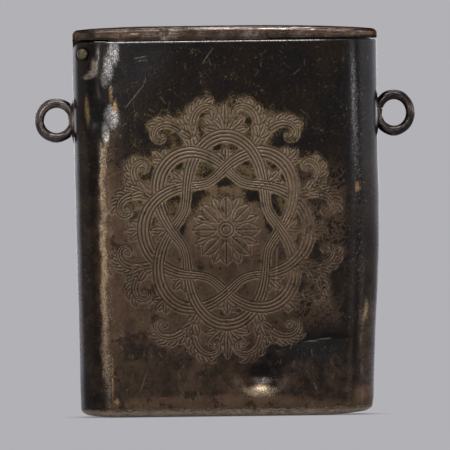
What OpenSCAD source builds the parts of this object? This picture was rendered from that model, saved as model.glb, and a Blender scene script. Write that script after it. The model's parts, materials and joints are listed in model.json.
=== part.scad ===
// Vesta case: a flat pocket box for matches with a snap lid hinged at one end of the mouth.
// Millimetres, +Z up, origin on the table under the middle of the base, front face towards -Y.

/* [Case] */
// Width across the mouth
case_w = 38.8; // [32:0.1:46]
// Depth from front to back
case_d = 11; // [9.5:0.1:14]
// Height of the body's rim above the table
rim_z = 48; // [44:0.5:56]
// How far each narrow side draws in between the rim and the table
side_taper = 0.85; // [0:0.05:1.2]
// Radius of the four upright corners
corner_r = 3.8; // [3:0.1:4.4]
// How far the front and the back stand out at their middle
face_crown = 0.3; // [0.1:0.05:0.5]
// Thickness of the body's sheet
wall = 0.5; // [0.4:0.05:0.6]

/* [Base pan] */
// Height of the base pan
base_h = 1.3; // [1.2:0.1:1.8]
// Radius of the pan's lower edge
base_edge_r = 1.1; // [0.6:0.1:1.2]
// Thickness of the pan's floor
base_floor = 0.9; // [0.8:0.05:1.1]

/* [Striker] */
// Distance of the striker plate's ends from the narrow sides
striker_end_margin = 5.4; // [4.5:0.1:8]
// Distance of the striker plate's edges from the front and the back
striker_edge_margin = 3; // [2.5:0.1:3.5]
// Thickness of the striker plate over its ribs
striker_t = 0.4; // [0.35:0.01:0.5]
// Spacing of the ribs
rib_pitch = 0.7; // [0.5:0.05:1.2]
// Height of a rib
rib_h = 0.18; // [0.1:0.01:0.25]
// How far the ribs lie above the table
striker_recess = 0.06; // [0.03:0.01:0.15]

/* [Lid] */
// Height of the lid at its crown
lid_h = 1.85; // [1.6:0.05:2.4]
// Gap between the lid's lower edge and the rim
lid_gap = 0.15; // [0.1:0.01:0.3]
// Thickness of the lid's sheet
lid_wall = 0.36; // [0.3:0.02:0.38]
// Radius of the lid's upper edge
lid_edge_r = 0.7; // [0.5:0.05:0.9]
// How far the lid's crown stands above its edge
lid_crown = 0.4; // [0.2:0.05:0.5]

/* [Mouth collar] */
// Thickness of the collar's strip
collar_t = 0.4; // [0.3:0.05:0.6]
// How deep the collar reaches into the body
collar_depth = 4; // [3:0.1:6]
// Distance of the collar's upper edge below the lid's crown
collar_headroom = 1.2; // [1.15:0.05:1.5]

/* [Hinge] */
// Radius of the hinge pin
pin_r = 0.75; // [0.6:0.05:0.8]
// Distance of the pin's axis from the narrow side
pin_in = 1.37; // [1.3:0.01:1.6]
// Distance of the pin's axis below the lid's lower edge
pin_drop = 1.69; // [1.65:0.01:2.2]
// How far the pin's ends stay back from the front and the back
pin_back = 1.1; // [0.9:0.05:1.3]
// Width of the knuckle under the lid
knuckle_w = 4; // [3:0.1:4.4]
// Distance of the knuckle's two spring flats from the pin's axis
cam_flat = 1.45; // [1.3:0.05:1.6]

/* [Spring] */
// Thickness of the leaf spring
spring_t = 0.35; // [0.25:0.05:0.5]
// Width of the leaf spring
spring_w = 3.6; // [2.5:0.1:4.4]
// Distance of the spring's lower end below the rim
spring_drop = 22; // [18:0.5:26]
// Length of the spring's foot
spring_foot_len = 7; // [6:0.5:9]
// Radius of the rivets that hold the foot
rivet_r = 0.45; // [0.35:0.05:0.6]

/* [Loops] */
// Diameter of the loop's wire
wire_d = 1.3; // [1:0.05:1.6]
// Radius of the hole through a loop
loop_hole_r = 1.6; // [1.3:0.05:2]
// Gap between a loop's hole and the narrow side
loop_stand = 0.6; // [0.5:0.05:0.9]
// Distance of the left loop's centre below the rim
left_loop_drop = 9.9; // [8:0.1:12]
// Distance of the right loop's centre below the rim
right_loop_drop = 9.4; // [8:0.1:12]
// Thickness of the saddle under a loop
saddle_t = 0.3; // [0.2:0.05:0.4]
// Width of a saddle
saddle_w = 2.6; // [1.6:0.1:3]
// Length of a saddle
saddle_len = 5.8; // [4.5:0.1:6.5]

/* [Clearances] */
// Gap at a soldered seat
seat_gap = 0.03; // [0.02:0.01:0.05]
// Gap around the pin in the case
pin_fit = 0.015; // [0.01:0.005:0.03]
// Gap around the pin in the knuckle
run_fit = 0.04; // [0.02:0.01:0.08]
// Gap around the knuckle in its slot
slot_gap = 0.15; // [0.1:0.01:0.25]

/* [Hidden] */
$fn = 48;

silver = "#3a332d";
pale_silver = "#5c5047";
pin_brass = "#5a5038";
steel = "#4a4a4c";

// Steps along a corner's arc, along a crowned face, and up the curved forms
corner_steps = 12;
face_steps = 12;
body_steps = 8;
base_edge_steps = 6;
lid_edge_steps = 5;
lid_crown_steps = 4;
// Smallest corner radius near the lid's crown
least_corner_r = 0.2;
// How far a cutting tool runs past what it cuts
past = 1;

// Radius of the crowned faces in plan
crown_r = (pow(case_w / 2 - corner_r, 2) + pow(face_crown, 2)) / (2 * face_crown);

striker_len = case_w - 2 * striker_end_margin;
striker_w = case_d - 2 * striker_edge_margin;

lid_z = rim_z + lid_gap;
lid_edge_z = lid_z + lid_h - lid_crown - lid_edge_r;
// Angle at which the lid's rounded edge runs into its crown
lid_edge_angle = 80;
// Half the length and half the width of the flat at the very top of the lid
lid_flat_x = 6;
lid_flat_y = 0.8;
lid_run_x = case_w / 2 - lid_edge_r - lid_flat_x;
lid_run_y = case_d / 2 - lid_edge_r - lid_flat_y;

collar_top_z = lid_z + lid_h - collar_headroom;

pin_x = pin_in - case_w / 2;
pin_z = lid_z - pin_drop;
pin_half = case_d / 2 - pin_back;
pin_chamfer = 0.15;
// The case is rounded about the pin above it, so that the lid swings clear
hinge_round_r = pin_drop - lid_gap;
knuckle_r = pin_in - seat_gap;
cam_corner_r = 1.25 * cam_flat;
slot_foot_z = pin_z - knuckle_r - slot_gap;

spring_foot_z = rim_z - spring_drop;
spring_foot_top_z = spring_foot_z + spring_foot_len;
spring_x = pin_x + cam_flat + seat_gap;
// How far the spring's upright end reaches below and above the pin, and the lead-in at its tip
spring_end_below = cam_flat;
spring_end_above = 0.6 * cam_flat;
spring_lead_in = 0.3;
rivet_head_r = 1.7 * rivet_r;
rivet_head_h = 0.8 * rivet_r;
rivet_zs = [for (k = [0.25, 0.75]) spring_foot_z + k * spring_foot_len];

// The collar's strip starts clear of the spring
collar_spring_gap = 1;
collar_start_x = spring_x + spring_t + spring_lead_in + collar_spring_gap;

// Flat worn on the inside of a loop by the chain that hung from it
loop_flat = 0.08;
loop_r = loop_hole_r + wire_d / 2 - loop_flat;
left_loop_z = rim_z - left_loop_drop;
right_loop_z = rim_z - right_loop_drop;
saddle_arc_r = (pow(saddle_len, 2) + pow(saddle_w, 2)) / (4 * saddle_w);

// Half the width of the case at a height: the narrow sides curve in towards the table
function half_w(z) = case_w / 2 - side_taper * pow(1 - min(z, rim_z) / rim_z, 2);

// Height of a corner's centre line above the middle of the plan, at half a width
function corner_y(hw) =
    case_d / 2 - crown_r + sqrt(pow(crown_r - corner_r, 2) - pow(hw - corner_r, 2));

// Points on an arc about a centre, from one step to another
function arc(c, r, a0, a1, n, from, to) = [
    for (i = [from:to])
        let (a = a0 + (a1 - a0) * i / n)
        c + r * [cos(a), sin(a)]
];

// Plan of the case: round corners joined by flat narrow sides and crowned faces
function plan(hw, hd, r) =
    let (
        face_r = crown_r - case_d / 2 + hd,
        cx = hw - r,
        rise = sqrt(pow(face_r - r, 2) - pow(cx, 2)),
        cy = hd - face_r + rise,
        turn = atan2(rise, cx)
    )
    concat(
        arc([cx, cy], r, 0, turn, corner_steps, 0, corner_steps),
        arc([0, hd - face_r], face_r, turn, 180 - turn, face_steps, 1, face_steps - 1),
        arc([-cx, cy], r, 180 - turn, 180, corner_steps, 0, corner_steps),
        arc([-cx, -cy], r, 180, 180 + turn, corner_steps, 0, corner_steps),
        arc([0, face_r - hd], face_r, 180 + turn, 360 - turn, face_steps, 1, face_steps - 1),
        arc([cx, -cy], r, 360 - turn, 360, corner_steps, 0, corner_steps)
    );

// The plan at a height, drawn in along X and along Y
function ring(z, inset_x, inset_y) =
    let (r = max(corner_r - inset_y, least_corner_r))
    [for (p = plan(half_w(z) - inset_x, case_d / 2 - inset_y, r)) [p.x, p.y, z]];

// A closed form stretched over a stack of rings
module loft(rings) {
    n = len(rings[0]);
    top = (len(rings) - 1) * n;
    sides = [
        for (j = [0:len(rings) - 2], i = [0:n - 1])
            let (a = j * n + i, b = j * n + (i + 1) % n)
            [a, a + n, b + n, b]
    ];
    caps = [[for (i = [0:n - 1]) i], [for (i = [n - 1:-1:0]) top + i]];
    polyhedron([for (r = rings) each r], concat(sides, caps));
}

// The tapering case between two heights, drawn in by an inset
module case_form(z0, z1, inset, steps) {
    loft([for (i = [0:steps]) ring(z0 + (z1 - z0) * i / steps, inset, inset)]);
}

// The straight mouth of the case between two heights, drawn in by an inset
module mouth_form(z0, z1, inset) {
    translate([0, 0, z0])
        linear_extrude(z1 - z0)
            polygon(plan(case_w / 2 - inset, case_d / 2 - inset, corner_r - inset));
}

// The lid's swelling form from a height up, drawn in and lowered by an inset
module lid_form(z0, inset) {
    edge = [
        for (i = [0:lid_edge_steps])
            let (a = lid_edge_angle * i / lid_edge_steps, d = inset + lid_edge_r * (1 - cos(a)))
            ring(lid_edge_z - inset + lid_edge_r * sin(a), d, d)
    ];
    crown = [
        for (i = [1:lid_crown_steps])
            let (s = i / lid_crown_steps, d = inset + lid_edge_r)
            ring(
                lid_z + lid_h - inset - lid_crown * pow(1 - s, 2),
                d + (lid_run_x - inset) * s,
                d + (lid_run_y - inset) * s
            )
    ];
    loft(concat([ring(z0, inset, inset)], edge, crown));
}

// A round bar along Y, through a point of the XZ plane
module bar_y(x, z, r, len) {
    translate([x, 0, z])
        rotate([90, 0, 0])
            cylinder(r = r, h = len, center = true);
}

// A flat shape drawn in X and Z, made thick along Y
module slab_y(w) {
    rotate([90, 0, 0])
        linear_extrude(w, center = true)
            children();
}

// Folded sheet body, open at both ends, with the hinge's slot and holes in it
module body_shell() {
    color(silver)
        difference() {
            case_form(base_h, rim_z, 0, body_steps);
            case_form(base_h - past, rim_z + past, wall, body_steps);
            bar_y(pin_x, pin_z, pin_r + pin_fit, case_d + past);
            translate([-case_w / 2 - past, -knuckle_w / 2 - slot_gap, slot_foot_z])
                cube([past + pin_in, knuckle_w + 2 * slot_gap, rim_z]);
            difference() {
                translate([-case_w / 2 - past, -case_d, pin_z])
                    cube([past + pin_in, 2 * case_d, rim_z]);
                bar_y(pin_x, pin_z, hinge_round_r, 3 * case_d);
            }
            rivet_shanks(rivet_r + pin_fit, past);
        }
}

// Pan that closes the body from below, with a seat for the striker
module base_pan() {
    edge = [
        for (i = [0:base_edge_steps])
            let (a = 90 * i / base_edge_steps, d = base_edge_r * (1 - sin(a)))
            ring(base_edge_r * (1 - cos(a)), d, d)
    ];
    seat_top_z = striker_recess + striker_t;
    color(silver)
        difference() {
            loft(concat(edge, [ring(base_h, 0, 0)]));
            case_form(base_floor, base_h + past, wall, 1);
            translate([0, 0, seat_top_z / 2 - past])
                cube([
                    striker_len + 2 * seat_gap,
                    striker_w + 2 * seat_gap,
                    seat_top_z + 2 * past
                ], center = true);
        }
}

// Ribbed plate under the base that a match is struck on
module striker_plate() {
    count = floor(striker_len / rib_pitch);
    first = -count * rib_pitch / 2;
    foot_z = striker_recess;
    root_z = foot_z + rib_h;
    back_z = foot_z + striker_t - seat_gap;
    end = striker_len / 2;
    ribs = [
        for (i = [0:count - 1])
            each [
                [first + i * rib_pitch, root_z],
                [first + (i + 0.5) * rib_pitch, foot_z]
            ]
    ];
    color(pale_silver)
        slab_y(striker_w)
            polygon(concat(
                [[-end, root_z]],
                ribs,
                [[-first, root_z], [end, root_z], [end, back_z], [-end, back_z]]
            ));
}

// Strip inside the mouth that the lid closes over, left open at the hinge
module mouth_collar() {
    color(pale_silver)
        difference() {
            mouth_form(rim_z - collar_depth, collar_top_z, wall + seat_gap);
            mouth_form(
                rim_z - collar_depth - past,
                collar_top_z + past,
                wall + seat_gap + collar_t
            );
            translate([collar_start_x - case_w, -case_d, 0])
                cube([case_w, 2 * case_d, 2 * rim_z]);
        }
}

module lid_cap() {
    color(silver)
        difference() {
            lid_form(lid_z, 0);
            lid_form(lid_z - past, lid_wall);
        }
}

// The knuckle about the pin: round outside, two flats for the spring, a neck up to the lid
module knuckle_outline() {
    circle(r = knuckle_r);
    translate([-pin_in, 0])
        square([pin_in + cam_flat, pin_drop + lid_h]);
    intersection() {
        translate([0, -cam_flat])
            square(cam_flat);
        circle(r = cam_corner_r);
    }
}

module hinge_knuckle() {
    color(pale_silver)
        difference() {
            intersection() {
                translate([pin_x, 0, pin_z])
                    slab_y(knuckle_w)
                        knuckle_outline();
                union() {
                    mouth_form(0, rim_z, seat_gap);
                    lid_form(rim_z - past, lid_wall + seat_gap);
                }
            }
            bar_y(pin_x, pin_z, pin_r + run_fit, case_d);
        }
}

module hinge_pin() {
    color(pin_brass)
        union() {
            bar_y(pin_x, pin_z, pin_r, 2 * (pin_half - pin_chamfer));
            for (side = [-1, 1])
                translate([pin_x, side * (pin_half - pin_chamfer), pin_z])
                    rotate([-90 * side, 0, 0])
                        cylinder(r1 = pin_r, r2 = pin_r - pin_chamfer, h = pin_chamfer);
        }
}

// Inside of the narrow side at the spring's foot, where the spring's edges meet the corners
function spring_foot_x() =
    let (
        hw = half_w(spring_foot_z),
        r = corner_r - wall,
        over = max(spring_w / 2 - corner_y(hw), 0)
    )
    wall + r - sqrt(pow(r, 2) - pow(over, 2)) + seat_gap - hw;

// Leaf spring: a foot on the narrow side, a long rise, and an upright end against the knuckle
module lid_spring() {
    end_z = pin_z + spring_end_above;
    back = [
        [spring_foot_x(), spring_foot_z],
        [spring_foot_x(), spring_foot_top_z],
        [spring_x, pin_z - spring_end_below],
        [spring_x, end_z],
        [spring_x + spring_lead_in, end_z + spring_lead_in]
    ];
    front = [for (i = [len(back) - 1:-1:0]) back[i] + [spring_t, 0]];
    color(steel)
        difference() {
            slab_y(spring_w)
                polygon(concat(back, front));
            rivet_shanks(rivet_r + pin_fit, past);
        }
}

// Front of the spring's foot, where the rivets' heads sit
function rivet_head_x() = spring_foot_x() + spring_t + seat_gap;

// Shanks of the rivets through the narrow side and the spring's foot, run on at both ends
module rivet_shanks(r, extra) {
    for (z = rivet_zs) {
        out_x = seat_gap - half_w(z) - extra;
        in_x = rivet_head_x() + rivet_head_h / 2 + extra;
        translate([out_x, 0, z])
            rotate([0, 90, 0])
                cylinder(r = r, h = in_x - out_x);
    }
}

module spring_rivets() {
    color(steel)
        union() {
            rivet_shanks(rivet_r, 0);
            for (z = rivet_zs)
                translate([rivet_head_x(), 0, z])
                    rotate([0, 90, 0])
                        cylinder(r1 = rivet_head_r, r2 = rivet_r, h = rivet_head_h);
        }
}

// Outer face of the saddle under a loop
function saddle_x(z) = half_w(z + saddle_len / 2) + seat_gap + saddle_t;

// Wire loop with its foot filed flat, on the right side of the case
module loop_ring(z) {
    color(silver)
        difference() {
            translate([half_w(z) + loop_stand + loop_hole_r, 0, z])
                rotate([90, 0, 0])
                    rotate_extrude()
                        intersection() {
                            translate([loop_r, 0])
                                circle(d = wire_d);
                            translate([loop_hole_r, -wire_d])
                                square(2 * wire_d);
                        }
            translate([saddle_x(z) + seat_gap - case_w, -case_d, 0])
                cube([case_w, 2 * case_d, 2 * rim_z]);
        }
}

// Pointed pad of metal that joins a loop to the narrow side
module loop_saddle(z) {
    color(pale_silver)
        translate([saddle_x(z) - saddle_t, 0, z])
            rotate([90, 0, 90])
                linear_extrude(saddle_t)
                    intersection_for (side = [-1, 1])
                        translate([side * (saddle_arc_r - saddle_w / 2), 0])
                            circle(r = saddle_arc_r);
}

module left_loop_ring() {
    mirror([1, 0, 0]) loop_ring(left_loop_z);
}

module left_loop_saddle() {
    mirror([1, 0, 0]) loop_saddle(left_loop_z);
}

module right_loop_ring() {
    loop_ring(right_loop_z);
}

module right_loop_saddle() {
    loop_saddle(right_loop_z);
}

body_shell();
base_pan();
striker_plate();
mouth_collar();
lid_cap();
hinge_knuckle();
hinge_pin();
lid_spring();
spring_rivets();
left_loop_ring();
left_loop_saddle();
right_loop_ring();
right_loop_saddle();
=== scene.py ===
"""A worn silver match case: dented sheet, engraved front, hinged lid and two soldered loops.

Shapes are worked out in millimetres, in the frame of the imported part.
They are scaled once, when a mesh is made.
"""
import json
import math

import bmesh
import bpy
import numpy as np
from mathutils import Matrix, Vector


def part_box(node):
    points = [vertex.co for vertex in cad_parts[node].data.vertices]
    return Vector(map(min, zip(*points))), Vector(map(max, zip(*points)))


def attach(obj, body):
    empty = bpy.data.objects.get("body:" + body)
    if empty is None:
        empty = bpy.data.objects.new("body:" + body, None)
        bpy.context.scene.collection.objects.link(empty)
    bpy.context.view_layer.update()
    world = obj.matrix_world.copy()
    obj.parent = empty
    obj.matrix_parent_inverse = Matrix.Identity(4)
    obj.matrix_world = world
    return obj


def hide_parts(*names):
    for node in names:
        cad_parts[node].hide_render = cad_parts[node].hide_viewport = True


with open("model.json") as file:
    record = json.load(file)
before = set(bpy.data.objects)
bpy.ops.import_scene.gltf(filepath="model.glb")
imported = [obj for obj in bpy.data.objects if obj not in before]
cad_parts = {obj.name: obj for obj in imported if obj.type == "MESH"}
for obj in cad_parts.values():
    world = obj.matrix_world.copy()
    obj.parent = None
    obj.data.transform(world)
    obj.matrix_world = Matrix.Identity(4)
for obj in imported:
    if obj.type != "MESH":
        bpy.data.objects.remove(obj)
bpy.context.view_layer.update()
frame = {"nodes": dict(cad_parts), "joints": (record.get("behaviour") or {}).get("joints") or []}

MM = 0.001


def node_box(name):
    """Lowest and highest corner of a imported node, in millimetres."""
    low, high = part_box(name)
    return np.array(low) / MM, np.array(high) / MM


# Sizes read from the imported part
_, base_high = node_box("base_pan")
_, shell_high = node_box("body_shell")
lid_low, lid_high = node_box("lid_cap")
pin_low, pin_high = node_box("hinge_pin")
_, knuckle_high = node_box("hinge_knuckle")
striker_low, striker_high = node_box("striker_plate")
rivet_low, rivet_high = node_box("spring_rivets")

HALF_W = lid_high[0]
HALF_D = lid_high[1]
BASE_H = base_high[2]
RIM_Z = shell_high[2]
LID_Z = lid_low[2]
TOP_Z = lid_high[2]
SIDE_TAPER = (HALF_W - base_high[0]) / (1 - BASE_H / RIM_Z) ** 2
PIN_X, _, PIN_Z = (value / MM for value in frame["joints"][0]["pos_m"])
PIN_R = (pin_high[2] - pin_low[2]) / 2
RIVET_HEAD_R = (rivet_high[1] - rivet_low[1]) / 2

# Sizes of the sheet that the part's boxes don't show
CORNER_R = 3.8
FACE_CROWN = 0.3
WALL = 0.5
LEAST_CORNER_R = 0.2
BASE_EDGE_R = 1.1
BASE_FLOOR = 0.9
LID_WALL = 0.36
LID_EDGE_R = 0.7
LID_CROWN = 0.4
LID_EDGE_ANGLE = math.radians(80)
LID_FLAT_X = 6.0
LID_FLAT_Y = 0.8
SEAT_GAP = 0.03
SLOT_GAP = 0.15
PIN_FIT = 0.015
RIVET_HEAD_SHARE = 1.7

CROWN_R = ((HALF_W - CORNER_R) ** 2 + FACE_CROWN ** 2) / (2 * FACE_CROWN)
LID_EDGE_Z = TOP_Z - LID_CROWN - LID_EDGE_R
LID_RUN_X = HALF_W - LID_EDGE_R - LID_FLAT_X
LID_RUN_Y = HALF_D - LID_EDGE_R - LID_FLAT_Y
HINGE_ROUND_R = RIM_Z - PIN_Z
SLOT_FOOT_Z = PIN_Z - (HALF_W + PIN_X - SEAT_GAP) - SLOT_GAP

# The photograph's frame, and where the case stands in it
FRAME_PX = 450
PX = 0.12825
CASE_MIDDLE_PX = 226.0
CASE_FOOT_PX = 415.5
CASE_ROLL = math.radians(0.7)


def soft_step(low, high, value):
    """Smooth rise from 0 at low to 1 at high."""
    share = np.clip((value - low) / (high - low), 0, 1)
    return share * share * (3 - 2 * share)


def ripple(points, waves):
    """Slow unevenness, from plane waves given as three wave numbers and a phase."""
    total = np.zeros(len(points))
    for wave_x, wave_y, wave_z, phase in waves:
        total += np.sin(points @ np.array([wave_x, wave_y, wave_z]) + phase)
    return total / len(waves)


# Outline of the case

def half_width(z):
    """Half the case's width at a height: the narrow sides curve in towards the foot."""
    return HALF_W - SIDE_TAPER * (1 - np.minimum(z, RIM_Z) / RIM_Z) ** 2


def arc(centre_x, centre_y, radius, start, end, steps):
    """Points on an arc, without its last one."""
    angles = np.linspace(start, end, steps, endpoint=False)
    return np.stack([centre_x + radius * np.cos(angles), centre_y + radius * np.sin(angles)], 1)


def full_turn(steps):
    """Angles spread evenly over a full turn."""
    return np.linspace(0, 2 * math.pi, steps, endpoint=False)


def plan(half_w, half_d, radius, steps):
    """Points round the case, anticlockwise from the right side.

    The steps are the numbers of points on a corner, the back, a side and the front.
    """
    corner, back, side, front = steps
    face_r = CROWN_R - HALF_D + half_d
    x = half_w - radius
    rise = math.sqrt((face_r - radius) ** 2 - x ** 2)
    y = half_d - face_r + rise
    turn = math.atan2(rise, x)
    down = np.linspace(y, -y, side, endpoint=False)
    return np.concatenate([
        arc(x, y, radius, 0, turn, corner),
        arc(0, half_d - face_r, face_r, turn, math.pi - turn, back),
        arc(-x, y, radius, math.pi - turn, math.pi, corner),
        np.stack([np.full(side, -half_w), down], 1),
        arc(-x, -y, radius, math.pi, math.pi + turn, corner),
        arc(0, face_r - half_d, face_r, math.pi + turn, 2 * math.pi - turn, front),
        arc(x, -y, radius, 2 * math.pi - turn, 2 * math.pi, corner),
        np.stack([np.full(side, half_w), -down], 1),
    ])


def ring(z, inset_x, inset_y, steps):
    """The plan at a height, drawn in along X and along Y."""
    radius = max(CORNER_R - inset_y, LEAST_CORNER_R)
    outline = plan(half_width(z) - inset_x, HALF_D - inset_y, radius, steps)
    return np.column_stack([outline, np.full(len(outline), z)])


def loft(rings, closed):
    """Points and faces of a skin over a stack of rings, closed on itself or capped at both ends."""
    count, around = len(rings), len(rings[0])
    columns = np.arange(around)
    following = (columns + 1) % around
    faces = []
    for row in range(count if closed else count - 1):
        low, high = row * around, (row + 1) % count * around
        quads = np.stack([low + columns, low + following, high + following, high + columns], 1)
        faces += quads.tolist()
    if not closed:
        faces.append(columns[::-1].tolist())
        faces.append(((count - 1) * around + columns).tolist())
    return np.concatenate(rings), faces


def plan_frame(points):
    """How deep each point lies inside the case's outer face, and which way that face looks there."""
    across, depth, z = np.abs(points[:, 0]), np.abs(points[:, 1]), points[:, 2]
    corner_x = half_width(z) - CORNER_R
    rise = np.sqrt((CROWN_R - CORNER_R) ** 2 - corner_x ** 2)
    corner_y = HALF_D - CROWN_R + rise
    out = np.stack([across, depth + CROWN_R - HALF_D], 1)
    inside = CROWN_R - np.hypot(out[:, 0], out[:, 1])
    in_corner = np.arctan2(depth - corner_y, across - corner_x) < np.arctan2(rise, corner_x)
    in_corner &= across > corner_x
    corner_out = np.stack([across - corner_x, depth - corner_y], 1)
    out[in_corner] = corner_out[in_corner]
    inside[in_corner] = CORNER_R - np.hypot(corner_out[:, 0], corner_out[:, 1])[in_corner]
    on_side = (across > corner_x) & (depth <= corner_y)
    out[on_side] = (1, 0)
    inside[on_side] = (half_width(z) - across)[on_side]
    out /= np.maximum(np.hypot(out[:, 0], out[:, 1]), 1e-9)[:, None]
    return inside, np.column_stack([out * np.sign(points[:, :2]), np.zeros(len(points))])


# Meshes

def scene_object(name, data):
    """An object in the scene, with its mesh, lamp or camera."""
    thing = bpy.data.objects.new(name, data)
    bpy.context.scene.collection.objects.link(thing)
    return thing


def mesh_object(name, points, faces):
    """A mesh object from points in millimetres."""
    mesh = bpy.data.meshes.new(name)
    mesh.from_pydata((np.asarray(points) * MM).tolist(), [], faces)
    return scene_object(name, mesh)


def dress(piece, material):
    """Gives the whole of a piece one finish."""
    piece.data.materials.clear()
    piece.data.materials.append(material)
    piece.data.polygons.foreach_set("material_index", np.zeros(len(piece.data.polygons), np.int32))


def settle(piece, material, body, node, sharp=50):
    """Smooths a piece but for its sharp edges, dresses it, ties it to its body and hides the imported
    node it stands for.
    """
    piece.data.shade_smooth()
    piece.data.set_sharp_from_angle(angle=math.radians(sharp))
    dress(piece, material)
    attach(piece, body)
    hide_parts(node)


def points_of(piece):
    """The points of a piece's mesh, in millimetres."""
    flat = np.empty(3 * len(piece.data.vertices), np.float32)
    piece.data.vertices.foreach_get("co", flat)
    return flat.reshape(-1, 3).astype(float) / MM


def put_points(piece, points):
    """Moves the points of a piece's mesh, given in millimetres."""
    piece.data.vertices.foreach_set("co", (points * MM).astype(np.float32).ravel())
    piece.data.update()


def mark(piece, **marks):
    """Keeps numbers at every point of a piece, for its material to read."""
    for name, values in marks.items():
        attribute = piece.data.attributes.new(name, "FLOAT", "POINT")
        attribute.data.foreach_set("value", np.full(len(piece.data.vertices), values, np.float32))


def prism(name, outline, axis, low, high):
    """A straight bar with an outline in the other two axes, from low to high along an axis."""
    ends = [np.insert(outline, axis, place, axis=1) for place in (low, high)]
    piece = mesh_object(name, *loft(ends, closed=False))
    shape = bmesh.new()
    shape.from_mesh(piece.data)
    bmesh.ops.recalc_face_normals(shape, faces=shape.faces)
    shape.to_mesh(piece.data)
    shape.free()
    return piece


def circle(centre_x, centre_y, radius, steps=48):
    """Outline of a round hole."""
    return arc(centre_x, centre_y, radius, 0, 2 * math.pi, steps)


def box_outline(low, high):
    """Outline of a rectangle between two corners."""
    return np.array([(low[0], low[1]), (high[0], low[1]), (high[0], high[1]), (low[0], high[1])])


def cut_away(piece, cutters):
    """Takes the cutters' shapes out of a piece, and removes the cutters."""
    for cutter in cutters:
        cut = piece.modifiers.new("cut", "BOOLEAN")
        cut.operation = "DIFFERENCE"
        cut.solver = "MANIFOLD"
        cut.object = cutter
    depsgraph = bpy.context.evaluated_depsgraph_get()
    whole = piece.data
    piece.data = bpy.data.meshes.new_from_object(piece.evaluated_get(depsgraph))
    piece.modifiers.clear()
    bpy.data.meshes.remove(whole)
    for cutter in cutters:
        bpy.data.objects.remove(cutter)


# Engraving on the front, kept as cut depths on a raster of X and Z

CELL = 0.04
RASTER_LOW = np.array([-17.6, BASE_H])
RASTER_HIGH = np.array([17.6, RIM_Z])
RASTER_SHAPE = tuple(np.ceil((RASTER_HIGH - RASTER_LOW) / CELL).astype(int) + 1)
ORNAMENT_MIDDLE = np.array([0.0, 23.8])
ORNAMENT_TALL = 1.14
LOBES = 8
LOBE_TURN = 2 * math.pi / LOBES
WREATH_STEPS = 2000
WREATH_TURNS = 3
WREATH_R = 8.2
WREATH_SWING = 2.4
WREATH_REACH = 11.6
RIBBON_HALF_W = 0.57
RIBBON_SWELL = 0.15
LEAF_STEPS = 20
LEAF_HALF_W = 0.42
TENDRIL_STEPS = 80
TENDRIL_HALF_W = 0.5
TENDRIL_CURL = 6.4
TENDRIL_LEAVES = (0.14, 0.23, 0.32, 0.41, 0.5)
TENDRIL_ROOT_R = 9.3
TENDRIL_LENGTH = 14.0
LONG_TENDRIL_LENGTH = 16.5
# Fans of leaves: distance from the ornament's middle, number of leaves, their length and spread
INNER_FAN = (7.4, 3, 3.6, 0.6)
OUTER_FAN = (10.7, 3, 3.6, 0.55)
TALL_FAN = (10.7, 7, 6.6, 0.36)
LYRE_FAN = (11.0, 3, 3.6, 0.5)
# Leaves of the rosette: turn from the lobe, distance of the root, length and half width
ROSETTE_LEAVES = ((LOBE_TURN / 2, 1.9, 3.7, 0.5), (0.0, 1.0, 5.2, 0.85))
BUTTON_R = 0.75
BUTTON_HALF_W = 0.2
GRAVER_HALF_W = 0.13
# Half width of the thinnest strokes, and depth of all but the ribbon's
THIN = 0.02
SHALLOW = 0.9
# Shares of a stroke's half width at which its lines are cut
EDGES = (1.0, -1.0)
RIBBON_LINES = (1.0, -1.0, 0.33, -0.33)


class Engraving:
    """Lines cut into the front, each one over what lies under it."""

    def __init__(self, cutter):
        self.cut = np.zeros(RASTER_SHAPE)
        self.cutter = cutter

    def window(self, low, high):
        """First and last cell of a stretch of the raster."""
        first = np.maximum(((low - RASTER_LOW) / CELL).astype(int), 0)
        last = np.minimum(((high - RASTER_LOW) / CELL).astype(int) + 2, RASTER_SHAPE)
        return first, np.maximum(last, first)

    def near(self, path, reach):
        """Cells near a path: their distance from it, their side of it and their share of its way."""
        first, last = self.window(path.min(0) - reach, path.max(0) + reach)
        away = np.full(tuple(last - first), np.inf)
        along = np.zeros(away.shape)
        side = np.ones(away.shape)
        for k in range(len(path) - 1):
            start, end = path[k], path[k + 1]
            step = end - start
            low, high = self.window(np.minimum(start, end) - reach, np.maximum(start, end) + reach)
            part = tuple(slice(*ends) for ends in zip(low - first, high - first))
            x = RASTER_LOW[0] + CELL * np.arange(low[0], high[0])[:, None] - start[0]
            z = RASTER_LOW[1] + CELL * np.arange(low[1], high[1])[None, :] - start[1]
            share = np.clip((x * step[0] + z * step[1]) / max(step @ step, 1e-12), 0, 1)
            distance = np.hypot(x - share * step[0], z - share * step[1])
            closer = distance < away[part]
            away[part][closer] = distance[closer]
            along[part][closer] = (k + share)[closer]
            side[part][closer] = np.sign(step[0] * z - step[1] * x)[closer]
        cells = tuple(slice(*ends) for ends in zip(first, last))
        return cells, away, side, along / (len(path) - 1)

    def stroke(self, path, half_widths, lines, depth, square_ends=False):
        """Cuts lines along a path, at shares of its half width, positive to the left of it."""
        widths = np.atleast_1d(half_widths)
        cells, away, side, along = self.near(path, widths.max() + 2 * self.cutter)
        width = np.interp(along, np.linspace(0, 1, len(widths)), widths)
        inside = away < width + self.cutter
        if square_ends:
            inside &= (along > 0) & (along < 1)
        profile = np.zeros(away.shape)
        for line in lines:
            off_line = np.abs(side * away - line * width)
            profile = np.maximum(profile, np.clip(1 - off_line / self.cutter, 0, 1))
        self.cut[cells] = np.where(inside, depth * profile, self.cut[cells])


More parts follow.
